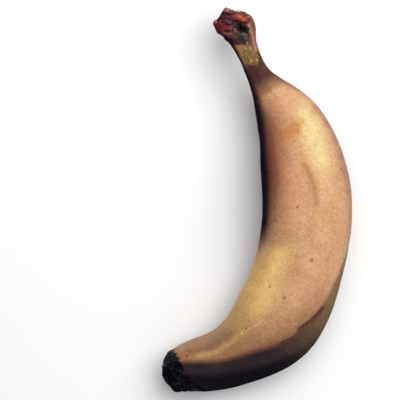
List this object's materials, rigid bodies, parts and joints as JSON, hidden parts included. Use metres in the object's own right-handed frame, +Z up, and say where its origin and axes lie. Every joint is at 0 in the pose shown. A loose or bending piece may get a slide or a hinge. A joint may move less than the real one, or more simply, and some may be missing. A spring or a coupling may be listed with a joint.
{
  "type": "plantain",
  "caption": "Ripe plantain lying on its side: a curved fruit with long soft ridges, a narrow neck with a torn knob and a dark, blunt blossom end.",
  "frame": {"origin": "on the surface that the fruit rests on, under the middle of its box seen from above", "axes": "+Y along the fruit towards its stalk, +X towards the outer side of its bend, +Z up from the surface"},
  "size_m": [0.106, 0.2148, 0.0492],
  "materials": {
    "ripe_skin": "satin, tan and yellow ripe skin that darkens to purple-black at its ends and along its inner side"
  },
  "bodies": {
    "root": {"plantain": "ripe_skin"}
  },
  "joints": []
}
